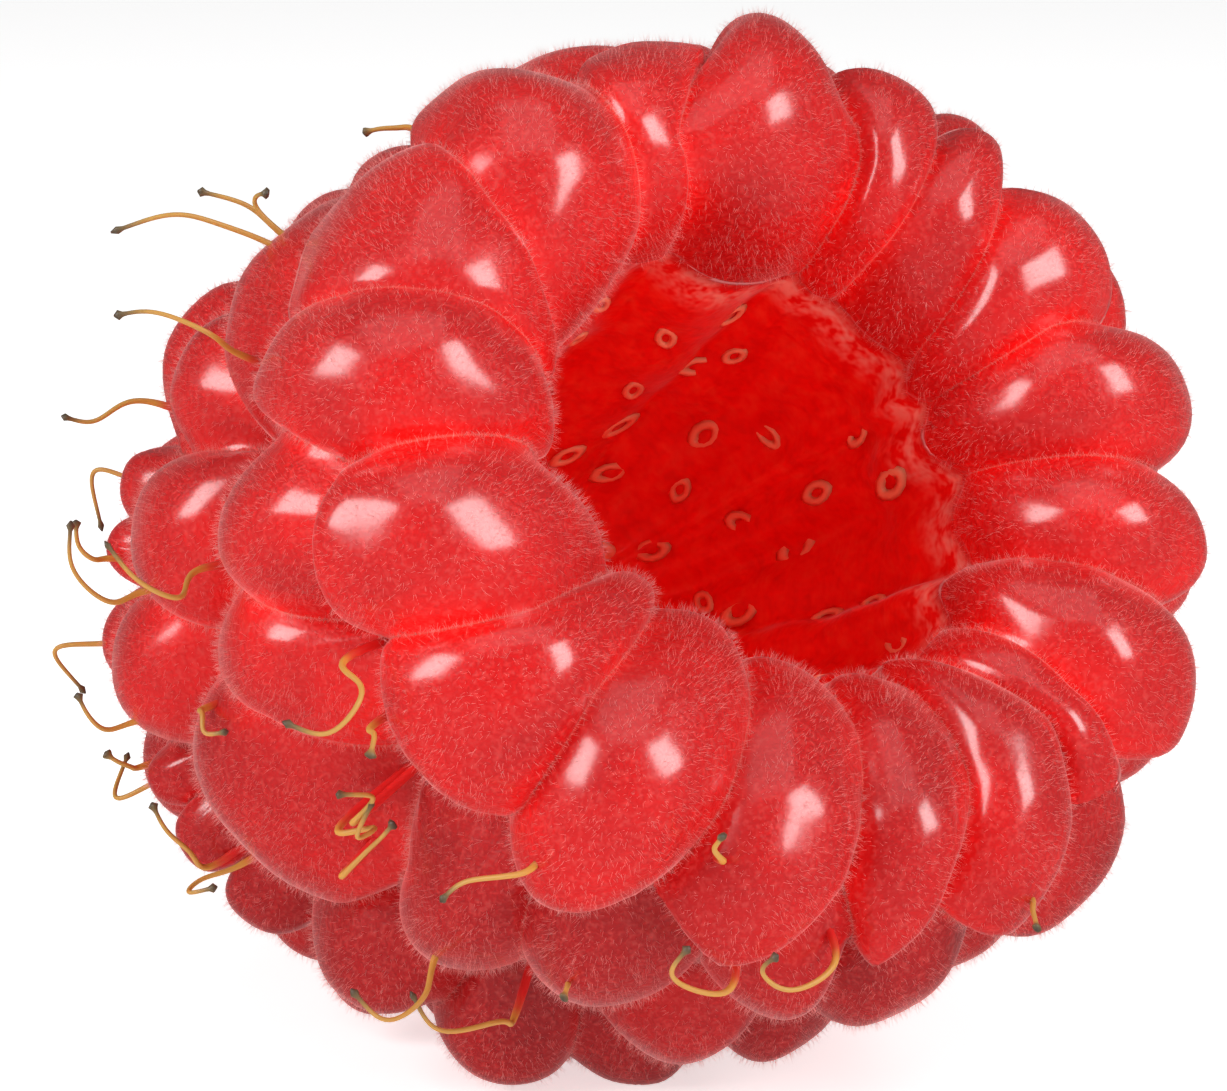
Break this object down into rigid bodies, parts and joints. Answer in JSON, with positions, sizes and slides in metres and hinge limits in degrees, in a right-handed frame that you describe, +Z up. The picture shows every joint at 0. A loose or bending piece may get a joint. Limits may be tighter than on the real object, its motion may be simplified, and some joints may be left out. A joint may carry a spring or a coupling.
{
  "type": "raspberry",
  "caption": "Picked ripe raspberry lying on its side, a hollow thimble of velvety red drupelets with dried styles",
  "frame": {"origin": "middle of the footprint box, on the surface that the fruit lies on", "axes": "+Z up; +Y toward the tip, which lies low at the back; the mouth of the hollow faces -Y and up; +X to the right seen from the mouth"},
  "size_m": [0.0244, 0.0264, 0.0231],
  "materials": {
    "drupelet_flesh": "velvety, translucent ripe fruit skin",
    "dried_style": "dry, golden brown thread",
    "down": "fine pale down"
  },
  "bodies": {
    "root": {"berry": "drupelet_flesh"}
  },
  "joints": []
}
